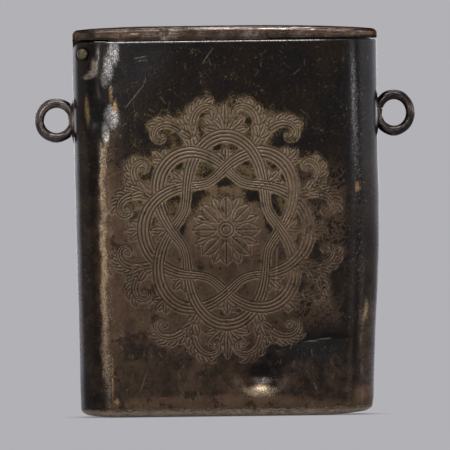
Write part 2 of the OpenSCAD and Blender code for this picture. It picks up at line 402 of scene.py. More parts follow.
def raster_at(raster, x, z):
    """Values of a raster at points, read between its cells."""
    u = np.clip((x - RASTER_LOW[0]) / CELL, 0, RASTER_SHAPE[0] - 1.001)
    v = np.clip((z - RASTER_LOW[1]) / CELL, 0, RASTER_SHAPE[1] - 1.001)
    i, j = u.astype(int), v.astype(int)
    u, v = u - i, v - j
    left = raster[i, j] * (1 - v) + raster[i, j + 1] * v
    right = raster[i + 1, j] * (1 - v) + raster[i + 1, j + 1] * v
    return left * (1 - u) + right * u


def blurred(raster, radius):
    """A raster softened over a radius, by running means along both axes."""
    reach = max(int(radius / CELL), 1)
    for axis in (0, 1, 0, 1):
        pad = [(reach + 1, reach) if k == axis else (0, 0) for k in (0, 1)]
        total = np.cumsum(np.pad(raster, pad, mode="edge"), axis=axis)
        span = 2 * reach + 1
        size = raster.shape[axis]
        high = np.take(total, np.arange(span, span + size), axis=axis)
        low = np.take(total, np.arange(0, size), axis=axis)
        raster = (high - low) / span
    return raster


def crossings(path):
    """Places along a closed path, in steps, where it crosses itself, in order."""
    step = np.roll(path, -1, 0) - path
    places = []
    for i in range(len(path)):
        gap, later = path[i + 1:] - path[i], step[i + 1:]
        turn = step[i, 0] * later[:, 1] - step[i, 1] * later[:, 0]
        turn = np.where(np.abs(turn) < 1e-12, 1e-12, turn)
        here = (gap[:, 0] * later[:, 1] - gap[:, 1] * later[:, 0]) / turn
        there = (gap[:, 0] * step[i, 1] - gap[:, 1] * step[i, 0]) / turn
        for k in np.flatnonzero((here >= 0) & (here < 1) & (there >= 0) & (there < 1)):
            neighbours = k == 0 or (i == 0 and k == len(gap) - 1)
            if not neighbours:
                places += [i + here[k], i + 1 + k + there[k]]
    return np.sort(places)


def cut_woven_ribbon(engraving, path, widths, lines):
    """A closed ribbon that passes over and under itself in turn."""
    count = len(path)
    places = crossings(path)
    ends = (places + np.roll(places, -1)) / 2
    ends[-1] = (places[-1] + places[0] + count) / 2
    starts = np.roll(ends, 1)
    starts[0] -= count
    for over in (0, 1):
        for first, last in zip(starts[over::2], ends[over::2]):
            index = np.arange(int(first) - 1, int(last) + 2) % count
            engraving.stroke(path[index], widths[index], lines, 1.0, square_ends=True)


def growing_path(root, heading, length, bend, curl, steps):
    """A path from a root that bends evenly, and curls up towards its end."""
    share = np.linspace(0, 1, steps)
    angle = heading + bend * share + curl * share ** 2
    stride = length / steps * (1 - 0.75 * share)
    return root + np.cumsum(stride[:, None] * np.stack([np.cos(angle), np.sin(angle)], 1), 0)


def round_path(centre, radius):
    """A small circle that ends where it starts."""
    outline = circle(*centre, radius, 24)
    return np.vstack([outline, outline[:1]])


def cut_leaf(engraving, root, heading, length, bend, width=LEAF_HALF_W):
    """A leaf with a midrib, that swells and ends in a point."""
    path = growing_path(root, heading, length, bend, 0.0, LEAF_STEPS)
    swell = width * np.sin(math.pi * np.linspace(0, 1, LEAF_STEPS) ** 0.7) + THIN
    engraving.stroke(path, swell, (*EDGES, 0.0), SHALLOW)


def toward(heading):
    """A step from the ornament's middle, a little longer up and down than across."""
    return np.array([math.cos(heading), ORNAMENT_TALL * math.sin(heading)])


def cut_tendril(engraving, path, side):
    """A tapering ribbon with leaves along one side and a bud at its curled end."""
    steps = np.diff(path, axis=0)
    for share in TENDRIL_LEAVES:
        k = int(share * len(steps))
        heading = math.atan2(steps[k][1], steps[k][0])
        cut_leaf(engraving, path[k], heading + 0.9 * side, 3.4 - 2.2 * share, -side)
    taper = np.linspace(TENDRIL_HALF_W, 0.3 * TENDRIL_HALF_W, 8)
    engraving.stroke(path, taper, (*EDGES, 0.1), SHALLOW)
    engraving.stroke(round_path(path[-1], 0.28), THIN, (0.0,), SHALLOW)


def cut_fan(engraving, heading, fan):
    """Leaves spread like a fan, at a distance from the ornament's middle."""
    distance, count, length, spread = fan
    root = ORNAMENT_MIDDLE + distance * toward(heading)
    for k in range(count):
        lean = (k - (count - 1) / 2) * spread
        leaf_length = length * (1 - 0.25 * abs(lean))
        cut_leaf(engraving, root, heading + lean, leaf_length, 0.5 * lean)


def cut_lyre(engraving, heading, length):
    """Two tendrils that part and curl away from each other, with a bud between them."""
    root = ORNAMENT_MIDDLE + TENDRIL_ROOT_R * toward(heading)
    for side in (1, -1):
        path = growing_path(root, heading + 0.1 * side, length, 0.0, TENDRIL_CURL * side, TENDRIL_STEPS)
        cut_tendril(engraving, path, -side)
    cut_fan(engraving, heading, LYRE_FAN)


def cut_rosette(engraving):
    """A petal to each lobe about a button, with leaves behind them."""
    for petal in range(LOBES):
        for turn, distance, length, width in ROSETTE_LEAVES:
            heading = petal * LOBE_TURN + turn
            root = ORNAMENT_MIDDLE + distance * toward(heading)
            cut_leaf(engraving, root, heading, length, 0.0, width)
    engraving.stroke(round_path(ORNAMENT_MIDDLE, BUTTON_R), BUTTON_HALF_W, EDGES, SHALLOW)


def cut_wreath(engraving):
    """A ribbon woven into a wreath of lobes."""
    turn = full_turn(WREATH_STEPS)
    reach = WREATH_R + WREATH_SWING * np.cos(LOBES * turn)
    around = WREATH_TURNS * turn + math.pi / 2
    path = np.stack([reach * np.cos(around), ORNAMENT_TALL * reach * np.sin(around)], 1)
    swell = RIBBON_HALF_W + RIBBON_SWELL * np.cos(LOBES * turn)
    cut_woven_ribbon(engraving, ORNAMENT_MIDDLE + path, swell, RIBBON_LINES)


def cut_ornament():
    """A woven wreath with a rosette in it, and leaves and tendrils about it."""
    engraving = Engraving(GRAVER_HALF_W)
    for lobe in range(LOBES):
        heading = lobe * LOBE_TURN
        cut_fan(engraving, heading, INNER_FAN)
        cut_fan(engraving, heading, TALL_FAN if lobe % 4 == 2 else OUTER_FAN)
    for gap in range(LOBES):
        length = LONG_TENDRIL_LENGTH if gap % 4 in (1, 2) else TENDRIL_LENGTH
        cut_lyre(engraving, (gap + 0.5) * LOBE_TURN, length)
    cut_rosette(engraving)
    cut_wreath(engraving)
    return engraving


# Wear, dents and engraving of the body

DENTS = (
    # X, Z, two radii and depth of the hollows in the front sheet
    (4.2, 5.0, 2.3, 1.7, 0.85),
    (-16.3, 37.6, 1.6, 1.9, 0.5),
    (-15.4, 24.5, 0.9, 0.9, 0.06),
    (-15.0, 42.2, 1.2, 1.0, 0.07),
    (9.0, 7.0, 2.6, 1.8, 0.1),
    (13.6, 16.4, 1.0, 2.6, 0.07),
)
BACK_DENTS = (
    # X, Z, two radii and depth of the hollows in the back sheet
    (-7.0, 12.0, 3.2, 2.4, 0.16),
    (10.5, 34.0, 2.0, 2.6, 0.1),
    (2.0, 41.0, 1.2, 0.9, 0.08),
)
CREASE = np.array([(6.6, 8.5), (10.0, 9.4), (13.2, 9.9), (15.0, 9.8)])
BROWN_PATCHES = (
    # X, Z and two radii of the places rubbed brown, and how far they are rubbed
    (-3.0, 17.0, 14.0, 10.0, 0.72),
    (-14.4, 20.0, 2.6, 14.5, 0.7),
    (0.0, 25.0, 7.6, 8.2, 0.72),
    (10.8, 22.0, 3.6, 9.0, 0.34),
    (-5.0, 5.0, 13.0, 5.0, 0.46),
    (-17.8, 20.0, 1.6, 18.0, 0.3),
    (12.0, 4.4, 6.0, 3.6, 0.4),
    (18.0, 7.0, 1.4, 10.0, 0.42),
    (17.8, 1.6, 2.6, 2.6, 0.75),
    (0.0, 1.0, 17.0, 2.0, 0.8),
)
BACK_BROWN_PATCHES = (
    # X, Z and two radii of the places rubbed brown on the back, and how far they are rubbed
    (1.0, 23.0, 13.0, 17.0, 0.66),
    (-8.0, 9.0, 7.0, 6.0, 0.55),
    (13.5, 24.0, 2.0, 16.0, 0.5),
    (-18.0, 20.0, 1.6, 16.0, 0.3),
    (18.2, 8.0, 1.6, 10.0, 0.36),
    (0.0, 1.0, 18.0, 2.2, 0.75),
)
DARK_PATCHES = (
    # X, Z and two radii of the places that stayed dark
    (-4.5, 28.5, 2.1, 1.6),
    (4.2, 28.8, 2.0, 1.5),
    (-8.8, 25.0, 1.1, 2.0),
    (6.8, 30.4, 1.4, 1.6),
    (-6.6, 31.6, 1.6, 1.2),
    (6.0, 25.2, 1.1, 2.0),
    (-0.2, 30.5, 2.4, 1.0),
    (-5.9, 24.9, 0.9, 1.7),
    (-2.4, 34.8, 1.8, 1.1),
    (2.8, 34.9, 1.6, 1.0),
    (-8.6, 34.4, 1.4, 1.2),
    (8.4, 35.0, 1.4, 1.2),
    (14.2, 17.6, 1.1, 3.8),
    (15.2, 13.4, 0.8, 2.0),
    (11.2, 21.0, 1.2, 1.5),
    (9.0, 16.7, 1.1, 0.8),
    (4.2, 5.8, 1.3, 0.9),
    (11.5, 28.5, 1.6, 1.3),
)
COOL_PATCHES = (
    # X, Z and two radii of the places where the tarnish is a cool grey, and how far it is
    (-16.4, 38.0, 1.4, 2.4, 1.0),
    (-11.5, 45.5, 4.0, 3.5, 0.8),
    (11.4, 8.0, 3.4, 1.4, 0.9),
)
WORN_SPOTS = (
    # X, Z and two radii of places worn to bare metal, how far, and how golden the metal is
    (-14.1, 46.5, 0.75, 1.6, 0.46, 0.0),
    (-14.8, 44.6, 0.7, 1.9, 0.42, 0.0),
    (-15.3, 43.2, 0.5, 1.2, 0.36, 0.1),
    (-14.5, 41.4, 0.25, 1.5, 0.30, 1.0),
    # The next three, on the flank of the dent in the left corner, are worn metal and also a painted
    # highlight
    (-14.0, 39.3, 0.4, 1.3, 0.42, 1.0),
    (-14.5, 38.4, 0.9, 1.5, 0.50, 0.0),
    (-15.2, 36.6, 0.5, 1.6, 0.46, 0.2),
    (-16.1, 46.4, 0.2, 1.1, 0.28, 0.1),
    (-16.6, 44.7, 0.45, 1.2, 0.46, 0.5),
    (-16.9, 43.9, 0.6, 0.6, 0.46, 0.5),
    (-17.4, 43.5, 0.7, 0.35, 0.42, 0.6),
    (-17.6, 39.2, 0.35, 2.0, 0.42, 1.0),
    (-15.1, 5.4, 0.3, 4.2, 0.26, 0.5),
    (-14.7, 5.0, 0.16, 3.6, 0.34, 1.0),
    (-14.2, 2.1, 0.3, 0.5, 0.40, 1.0),
    (16.6, 29.1, 0.3, 0.8, 0.42, 1.0),
    (17.6, 13.5, 0.3, 1.4, 0.34, 0.8),
    (17.2, 12.6, 0.15, 1.0, 0.30, 0.9),
    # The next two, on the dent near the foot, are worn metal and also a painted highlight; the last
    # two, along the crease, are a painted highlight
    (4.1, 3.2, 2.0, 0.75, 0.46, 0.7),
    (4.7, 4.5, 1.3, 0.4, 0.26, 0.0),
    (10.6, 9.5, 0.9, 0.07, 0.40, 0.0),
    (12.2, 9.76, 0.9, 0.06, 0.36, 0.0),
)
# Share of a spot's radius over which it fades
WORN_EDGE = 0.6
BROWN_EDGE = 0.4
DARK_EDGE = 0.5
COOL_EDGE = 0.6

# Bands that rise between their first two values and fall between their last two
LEFT_STRIPE = (-16.3, -15.9, -15.45, -14.9)
LEFT_STRIPE_Z = (2, 6, 34, 36)
LEFT_FADE = (-16.2, -15.7, -14.9, -13.6)
LEFT_FADE_Z = (10, 14, 33, 36)
RIGHT_STRIPE = (-0.55, -0.2, 0.2, 0.6)
RIGHT_STRIPE_Z = (2, 12, 44, 48)
BACK_STRIPE = (15.0, 15.8, 16.4, 17.2)
BACK_STRIPE_Z = (2, 9, 38, 47)
TANGLE_X = (6.5, 10.0, 14.5, 16.0)
TANGLE_Z = (10, 14, 29, 34)
RIM_HIGHLIGHT_X = (-15.2, -14.8, 11.0, 14.0)

# Where the right stripe starts, how it leans, and how golden the left one is
RIGHT_STRIPE_X = 16.3
RIGHT_STRIPE_LEAN = 0.02
STRIPE_GOLD = 0.78

SCRATCH_HALF_W = 0.07
HAIRLINE = 0.01
SCRATCH_CLUSTERS = 90
SCRATCH_SEED = 5
SCRATCHES = (
    # Ends and brightness of the longer scratches
    ((-12.6, 39.6), (-10.3, 42.4), 0.55),
    ((-11.4, 45.8), (-10.0, 46.1), 0.8),
    ((-11.0, 45.5), (-9.9, 45.6), 0.6),
    ((-2.7, 45.2), (-1.4, 47.0), 0.8),
    ((-8.2, 40.9), (-7.5, 40.0), 0.5),
    ((8.9, 43.6), (9.6, 44.2), 0.5),
    ((-11.2, 3.2), (-10.4, 5.6), 0.5),
    ((6.2, 15.4), (6.5, 21.5), 0.7),
    # These two pale lines along the crease are a painted highlight
    ((9.4, 9.3), (11.4, 9.65), 0.4),
    ((10.6, 9.5), (13.2, 9.9), 0.6),
    ((16.9, 11.5), (17.2, 1.6), 0.25),
    ((-16.2, 24.2), (-15.6, 25.5), 0.7),
    ((-15.6, 25.6), (-14.9, 26.2), 0.9),
    ((-14.9, 26.2), (-14.6, 26.9), 0.7),
    ((-15.4, 18.2), (-14.6, 18.0), 0.7),
    ((-15.0, 13.2), (-14.7, 12.5), 0.8),
)
ENGRAVING_DEPTH = 0.085
CREASE_DEPTH = 0.11
CREASE_REACH_UP = 0.22
CREASE_REACH_DOWN = 0.9
CREASE_END = 0.5
UNEVEN_DEPTH = 0.03
SHEET_WAVES = (
    (0.31, 0.0, 0.22, 0.4),
    (-0.52, 0.1, 0.41, 1.9),
    (0.83, 0.3, -0.35, 3.1),
    (0.21, 0.5, 0.95, 5.2),
)


def bump_at(x, z, place_x, place_z, radius_x, radius_z):
    """A soft round spot of height 1."""
    return np.exp(-(((x - place_x) / radius_x) ** 2 + ((z - place_z) / radius_z) ** 2))


def spot_at(x, z, place_x, place_z, radius_x, radius_z, edge):
    """A flat-topped spot that ends within a soft edge."""
    return soft_step(1 + edge, 1 - edge, np.hypot((x - place_x) / radius_x, (z - place_z) / radius_z))


def spots_at(x, z, patches, edge):
    """The strongest of several spots, each given by its place, two radii and strength."""
    field = np.zeros(len(x))
    for *place, share in patches:
        field = np.maximum(field, share * spot_at(x, z, *place, edge))
    return field


def band_at(value, band):
    """A band that rises between its first two values and falls between its last two."""
    return soft_step(band[0], band[1], value) * soft_step(band[3], band[2], value)


def distance_from_path(x, z, path):
    """Height of points over a bent line, and how far they lie past its ends."""
    height = z - np.interp(x, path[:, 0], path[:, 1])
    past = np.maximum(path[0, 0] - x, x - path[-1, 0])
    return height, np.maximum(past, 0)


def sheet_shift(points, front):
    """How far the worn sheet stands in from its true outline."""
    x, z = points[:, 0], points[:, 2]
    shift = UNEVEN_DEPTH * ripple(points, SHEET_WAVES)
    for dents, share in ((DENTS, front), (BACK_DENTS, 1 - front)):
        for *place, depth in dents:
            shift += share * depth * bump_at(x, z, *place)
    height, past = distance_from_path(x, z, CREASE)
    reach = np.where(height > 0, CREASE_REACH_UP, CREASE_REACH_DOWN)
    shift += front * CREASE_DEPTH * np.exp(-np.abs(height / reach) - (past / CREASE_END) ** 2)
    return shift * soft_step(0, 2.0, RIM_Z - z) * soft_step(0, 1.2, z - BASE_H)


def side_bow(points):
    """How far points move along X: the right side bellies out and the left one spreads at its foot."""
    x, z = points[:, 0], points[:, 2]
    belly = 0.27 * np.exp(-((z - 25) / 9) ** 2)
    belly += 0.2 * soft_step(2, 22, z) - 0.15 * soft_step(2.5, 0.5, z)
    spread = 0.24 * np.exp(-((z - 1) / 9) ** 2)
    return soft_step(14.5, 18, np.abs(x)) * np.where(x > 0, belly, -spread)


def rubbed_share(x, z, near_lines, about_lines, dark, tangle):
    """How far the tarnish of the front is rubbed through to brown metal."""
    field = spots_at(x, z, BROWN_PATCHES, BROWN_EDGE) * (1 - 0.4 * tangle)
    in_wreath = spot_at(x, z, *ORNAMENT_MIDDLE, WREATH_REACH, ORNAMENT_TALL * WREATH_REACH, 0.1)
    halo = (0.66 + 0.34 * in_wreath) * soft_step(0.0, 0.42, near_lines) * (1 - 0.55 * tangle)
    glow = 0.36 * soft_step(0.0, 0.3, about_lines) * (1 - 0.5 * tangle)
    return np.maximum(np.maximum(field, glow) * (1 - dark), halo * (1 - 0.3 * dark))


def worn_share(x, z, spots):
    """How far places are worn to bare metal, and how golden that metal is."""
    wear, gold = np.zeros(len(x)), np.zeros(len(x))
    for *place, share, golden in spots:
        here = share * spot_at(x, z, *place, WORN_EDGE)
        gold = np.where(here > wear, golden, gold)
        wear = np.maximum(wear, here)
    return wear, gold


def front_wear_and_highlights(x, z):
    """Wear of the front, with painted highlights: its worn spots, and the stripes along its two upright
    edges.
    """
    wear, gold = worn_share(x, z, WORN_SPOTS)
    from_left = x + 0.12 * np.sin(0.9 * z) + 0.08 * np.sin(2.3 * z + 1.0)
    from_right = x - RIGHT_STRIPE_X - RIGHT_STRIPE_LEAN * (RIM_Z - z)
    # The left stripe and its fade are worn metal and also a painted highlight
    left = band_at(from_left, LEFT_STRIPE) * band_at(z, LEFT_STRIPE_Z)
    left *= 0.29 + 0.08 * soft_step(9, 18, z)
    fade = 0.18 * band_at(from_left, LEFT_FADE) * band_at(z, LEFT_FADE_Z)
    # The right stripe is a painted reflection, brighter towards the top
    right = band_at(from_right, RIGHT_STRIPE) * band_at(z, RIGHT_STRIPE_Z)
    right *= 0.12 + 0.1 * soft_step(28, 40, z)
    stripes = np.maximum(np.maximum(left, fade), right)
    gold = np.where(stripes > wear, STRIPE_GOLD * (x < 0), gold)
    return np.maximum(wear, stripes), gold


def cool_share(x, z):
    """How far the tarnish turns from brown to a cool grey: up the right edge and in a few places."""
    cool = soft_step(14.6, 16.2, x) * (0.25 + 0.75 * soft_step(20, 40, z))
    cool = np.maximum(cool, 0.2 * soft_step(-14.6, -16.2, x))
    return np.maximum(cool, spots_at(x, z, COOL_PATCHES, COOL_EDGE))


def cut_scratch(scratches, start, end, brightness):
    """One straight scratch."""
    scratches.stroke(np.array([start, end]), HAIRLINE, (0.0,), brightness)


def cut_scratches():
    """Long scratches in their places, and many short ones strewn over the front in clusters."""
    scratches = Engraving(SCRATCH_HALF_W)
    for start, end, brightness in SCRATCHES:
        cut_scratch(scratches, start, end, brightness)
    draw = np.random.default_rng(SCRATCH_SEED)
    for _ in range(SCRATCH_CLUSTERS):
        middle = draw.uniform((-15, 2), (16, 47))
        for _ in range(draw.integers(1, 9)):
            start = middle + draw.normal(0, 1.1, 2)
            lean = draw.normal(math.pi / 2, 0.7)
            length = draw.uniform(0.15, 1.0) ** 2
            end = start + length * np.array([math.cos(lean), math.sin(lean)])
            cut_scratch(scratches, start, end, draw.uniform(0.1, 0.6))
    return scratches


BODY_STEPS = (22, 56, 8, 344)
BODY_ROW = 0.092
RIM_BEVEL = 0.14
INNER_BEVEL = 0.06
SKIN_DEPTH = 0.02
RIM_DEPTH = 0.2
# How deep a cell is cut to count as drawn, and how far about the lines the metal is rubbed
DRAWN_DEPTH = 0.2
NEAR_LINES = 0.34
ABOUT_LINES = 1.0
BESIDE_LINES = 0.16


def body_rings():
    """Rings up the outside of the body, over its rim, down the inside and back."""
    rows = [(z, 0.0) for z in np.arange(BASE_H, RIM_Z - RIM_BEVEL, BODY_ROW)]
    for turn in np.radians((0, 30, 60, 90)):
        rows.append((RIM_Z - RIM_BEVEL * (1 - math.sin(turn)), RIM_BEVEL * (1 - math.cos(turn))))
    rows += [(RIM_Z, WALL - INNER_BEVEL), (RIM_Z - INNER_BEVEL, WALL)]
    rows += [(z, WALL) for z in np.linspace(RIM_Z - 0.4, BASE_H, 40)]
    return [ring(z, inset, inset, BODY_STEPS) for z, inset in rows]


def hinge_cutters():
    """Shapes of the hinge's slot, the round above its pin, and the holes of pin and rivets."""
    left = -HALF_W - 1
    top = RIM_Z + 1
    slot_half = knuckle_high[1] + SLOT_GAP
    slot = prism("slot", box_outline((left, SLOT_FOOT_Z), (PIN_X, top)), 1, -slot_half, slot_half)
    round_off = np.concatenate([
        [(left, top), (left, PIN_Z)],
        arc(PIN_X, PIN_Z, HINGE_ROUND_R, math.pi, math.pi / 2, 24),
        [(PIN_X, RIM_Z), (PIN_X, top)],
    ])
    rounding = prism("rounding", round_off, 1, -2 * HALF_D, 2 * HALF_D)
    pin_hole = prism("pin_hole", circle(PIN_X, PIN_Z, PIN_R + PIN_FIT), 1, -2 * HALF_D, 2 * HALF_D)
    cutters = [slot, rounding, pin_hole]
    rivet_r = RIVET_HEAD_R / RIVET_HEAD_SHARE + PIN_FIT
    for z in (rivet_low[2] + RIVET_HEAD_R, rivet_high[2] - RIVET_HEAD_R):
        cutters.append(prism("rivet_hole", circle(0, z, rivet_r, 32), 0, left, left + 4))
    return cutters


def front_share(points):
    """1 on the front half of the case and 0 on its back half."""
    return soft_step(1.2, -1.2, points[:, 1])


def mark_lines(body, lines, points, skin, back):
    """Marks the body's lines and how it is rubbed about them, and tells how deep each point is cut."""
    x, z = points[:, 0], points[:, 2]
    dark = spots_at(x, z, [(*patch, 1.0) for patch in DARK_PATCHES], DARK_EDGE)
    tangle = skin * band_at(x, TANGLE_X) * band_at(z, TANGLE_Z) * (1 - 0.85 * dark)
    # A ring about the pin, set off towards the lower right, is cut in and darkened like the grooves as
    # the painted shadow of the pin's end
    from_pin = np.hypot(x - PIN_X - 0.2, z - PIN_Z + 0.16) - PIN_R
    cut = np.maximum(raster_at(lines, x, z), soft_step(0.32, 0.14, np.abs(from_pin)))
    cut *= skin
    drawn = (lines > DRAWN_DEPTH).astype(float)
    near = skin * raster_at(blurred(drawn, NEAR_LINES), x, z)
    about = skin * raster_at(blurred(drawn, ABOUT_LINES), x, z)
    # Pale edges beside the grooves: rubbed metal, and also a painted highlight of the engraving's
    # relief
    beside = skin * np.clip(1.6 * raster_at(blurred(lines, BESIDE_LINES), x, z) - cut, 0, 1)
    back_rub = back * spots_at(x, z, BACK_BROWN_PATCHES, BROWN_EDGE)
    soft = np.maximum(soft_step(28, 20, z), soft_step(-11.5, -13.5, x))
    soft = np.maximum(soft, np.maximum(soft_step(15, 16, x), 0.8 * tangle))
    cut *= 1 - 0.6 * tangle
    mark(
        body,
        cut=cut,
        beside=beside * (1 - 0.5 * tangle) * (0.5 + 0.5 * soft_step(20, 28, z)),
        rub=skin * rubbed_share(x, z, near, about, dark, tangle) + back_rub,
        soft=np.maximum(soft, 1 - front_share(points)),
        tangle=tangle,
    )
    return cut


def mark_wear(body, scratches, points, skin, back, rim):
    """Marks where the body is scratched, where it is worn bright or golden or has a painted highlight,
    and where its tarnish is cool.
    """
    x, z = points[:, 0], points[:, 2]
    wear, gold = front_wear_and_highlights(x, z)
    back_wear = 0.14 * band_at(np.abs(x), BACK_STRIPE) * band_at(z, BACK_STRIPE_Z)
    # The pale line along the rim is worn metal and also a painted highlight, brightest from the left
    # corner to right of the middle
    rim_wear_and_highlight = rim * soft_step(RIM_Z - 0.32, RIM_Z - 0.1, z) * (0.3 + 0.7 * band_at(x, RIM_HIGHLIGHT_X))
    back_scratches = raster_at(scratches, -x, BASE_H + RIM_Z - z)
    mark(
        body,
        scratch=skin * raster_at(scratches, x, z) + back * back_scratches,
        wear=np.maximum(skin * wear + back * back_wear, 0.46 * rim_wear_and_highlight),
        gold=skin * gold,
        cool=cool_share(x, z),
    )


def make_body(engraving, scratches):
    """The folded sheet body: engraved, dented, scratched and worn."""
    body = mesh_object("case_body", *loft(body_rings(), closed=True))
    cut_away(body, hinge_cutters())
    points = points_of(body)
    inside, out = plan_frame(points)
    front = front_share(points)
    skin = (inside < SKIN_DEPTH) * front
    back = (inside < SKIN_DEPTH) * (1 - front)
    cut = mark_lines(body, engraving.cut, points, skin, back)
    mark_wear(body, scratches.cut, points, skin, back, inside < RIM_DEPTH)
    shift = sheet_shift(points, front) + ENGRAVING_DEPTH * cut
    points[:, 0] += side_bow(points)
    put_points(body, points - out * shift[:, None])
    settle(body, tarnished_silver("body_finish"), "case", "body_shell")


# Lid, base, pin and loops

LID_STEPS = (16, 90, 6, 300)
LID_WAVES = (
    (0.6, 0.2, 0.0, 1.0),
    (-1.1, 0.5, 0.0, 2.2),
    (1.9, -0.7, 0.0, 4.0),
)
LID_WORN_SPOTS = (
    # X, Z and two radii of places worn to bare metal, how far, and how golden the metal is
    (-13.6, 48.75, 1.8, 0.14, 0.66, 0.8),
    (-11.4, 48.95, 0.9, 0.12, 0.46, 0.8),
    (-3.4, 48.45, 3.6, 0.08, 0.30, 0.3),
    # The next three, along the top edge, are a painted highlight line over wear
    (-0.6, 49.58, 4.8, 0.11, 0.60, 0.15),
    (7.4, 49.48, 4.6, 0.11, 0.56, 0.25),
    (11.4, 49.30, 0.35, 0.14, 0.44, 0.2),
    (14.2, 49.05, 1.6, 0.12, 0.38, 0.6),
    (17.3, 49.00, 0.7, 0.12, 0.38, 0.5),
    (13.5, 48.40, 1.9, 0.07, 0.46, 0.2),
)
LID_BEVEL = 0.05
LID_ARCH = 0.3
LID_TILT = 0.2
LID_NICK = (-7.6, 49.0, 0.4, 0.5)
LID_NICK_DEPTH = 0.3
LID_LEFT_GAPE = (-19.0, -18.0, -15.6, -13.6)
LID_SHADE = (0.28, 0.4, 0.9, 1.6)
LID_SLANT = (0.31, 0.295, 0.295)


def lid_gape(x):
    """Where the lid stands off the rim: at its left end, and over the right half."""
    return np.maximum(band_at(x, LID_LEFT_GAPE), soft_step(4.8, 6.4, x))


def lid_lift(x):
    """How far the lid's lower edge is bent up: it is tight in the middle and gapes at both ends."""
    return -0.09 + 0.2 * lid_gape(x)


def lid_rings(inset, foot_z):
    """Rings of the lid from its lower edge over its rounded, arched upper one to its flat."""
    rows = [(foot_z, inset, inset, 0.0), (0.5 * (foot_z + LID_EDGE_Z - inset), inset, inset, 0.3)]
    for angle in np.linspace(0, LID_EDGE_ANGLE, 9):
        drawn = inset + LID_EDGE_R * (1 - math.cos(angle))
        z = LID_EDGE_Z - inset + LID_EDGE_R * math.sin(angle)
        rows.append((z, drawn, drawn, 0.6 + 0.4 * math.sin(angle)))
    for share in np.linspace(0, 1, 10)[1:]:
        drawn = inset + LID_EDGE_R
        fall = (1 - share) ** 2
        run_x, run_y = (LID_RUN_X - inset) * share, (LID_RUN_Y - inset) * share
        rows.append((TOP_Z - inset - LID_CROWN * fall, drawn + run_x, drawn + run_y, fall))
    rings = []
    for z, inset_x, inset_y, lifted in rows:
        points = ring(z, inset_x, inset_y, LID_STEPS)
        points[:, 2] += lifted * LID_ARCH * (1 - (points[:, 0] / HALF_W) ** 2)
        rings.append(points)
    flat = rings[-1]
    for share in (0.6, 0.3, 0.05):
        rings.append(flat * (0.94 + 0.06 * share, share, 1))
    return rings


def worn_lid(points, out):
    """Points of the lid, uneven, nicked, tilted and bent at its lower edge."""
    x, z = points[:, 0], points[:, 2]
    top = soft_step(LID_Z, TOP_Z, z)
    uneven = UNEVEN_DEPTH * ripple(points, LID_WAVES)
    nick = LID_NICK_DEPTH * bump_at(x, z, *LID_NICK) * (points[:, 1] < 0)
    shift = (0.5 * uneven * (1 - top) + nick) * soft_step(LID_Z, LID_Z + 0.4, z)
    moved = points - out * shift[:, None]
    moved[:, 2] += lid_lift(x) * soft_step(LID_Z + 0.6, LID_Z, z)
    moved[:, 2] -= (np.abs(uneven) + LID_TILT * soft_step(3, HALF_W, x)) * top
    moved[:, 0] += side_bow(points)
    return moved


def make_lid():
    """The lid: a shallow swelling cap, scuffed along its edge."""
    foot = LID_Z + LID_BEVEL
    rim = [ring(LID_Z, inset, inset, LID_STEPS) for inset in (LID_WALL - LID_BEVEL, LID_BEVEL)]
    rings = lid_rings(LID_WALL, foot)[::-1] + rim + lid_rings(0.0, foot)
    points, faces = loft(rings, closed=False)
    lid = mesh_object("case_lid", points, faces)
    inside, out = plan_frame(points)
    moved = worn_lid(points, out)
    put_points(lid, moved)
    x, z = points[:, 0], moved[:, 2]
    shaded = np.maximum(band_at(inside, LID_SHADE), 0.4 * soft_step(-13.0, -17.4, x))
    wear, gold = worn_share(x, z, LID_WORN_SPOTS)
    handled = soft_step(3.2, 0.9, inside)
    uneven = ripple(points, LID_WAVES) * (0.3 + 0.7 * handled)
    scuffed = (0.06 + 0.08 * handled + 0.1 * uneven) * (1 - shaded)
    mark(
        lid,
        wear=np.maximum(scuffed, wear * (points[:, 1] < 0)),
        gold=gold,
        rub=(0.40 + 0.26 * handled + 0.2 * uneven) * (1 - 0.7 * shaded),
        cool=0.5 + 0.5 * shaded,
        soft=1.0,
        scuff=0.6,
        # Painted shade: a dark line along the lower edge where the lid gapes from the rim
        cut=soft_step(LID_Z + 0.22, LID_Z + 0.08, z) * lid_gape(x),
    )
    finish = tarnished_silver(
        "lid_finish", grain=(24, 1, 1), clouds=(4, 1, 0.5), speckled=1.2, slant=LID_SLANT
    )
    settle(lid, finish, "lid", "lid_cap")


BASE_STEPS = (16, 60, 6, 120)
BASE_WORN_SPOTS = (
    # X, Z and two radii of places worn to bare metal, how far, and how golden the metal is
    # The spots along the rounded lower edge are worn metal and also a painted reflection of the floor
    (14.2, 1.0, 1.7, 0.10, 0.50, 0.4),
    (10.6, 0.55, 4.2, 0.12, 0.40, 0.4),
    (2.0, 0.45, 4.6, 0.12, 0.36, 0.5),
    (-8.0, 0.5, 2.4, 0.12, 0.30, 0.4),
    (-14.0, 0.7, 1.0, 0.14, 0.38, 0.3),
    (17.6, 1.1, 1.4, 0.08, 0.36, 0.4),
    (17.4, 0.8, 1.6, 0.08, 0.32, 0.4),
)


def foot_lift(x):
    """How far the foot of the case curves up towards its two ends."""
    return 0.3 * soft_step(-14.5, -18.8, x) + 0.5 * soft_step(12.5, 18.8, x)


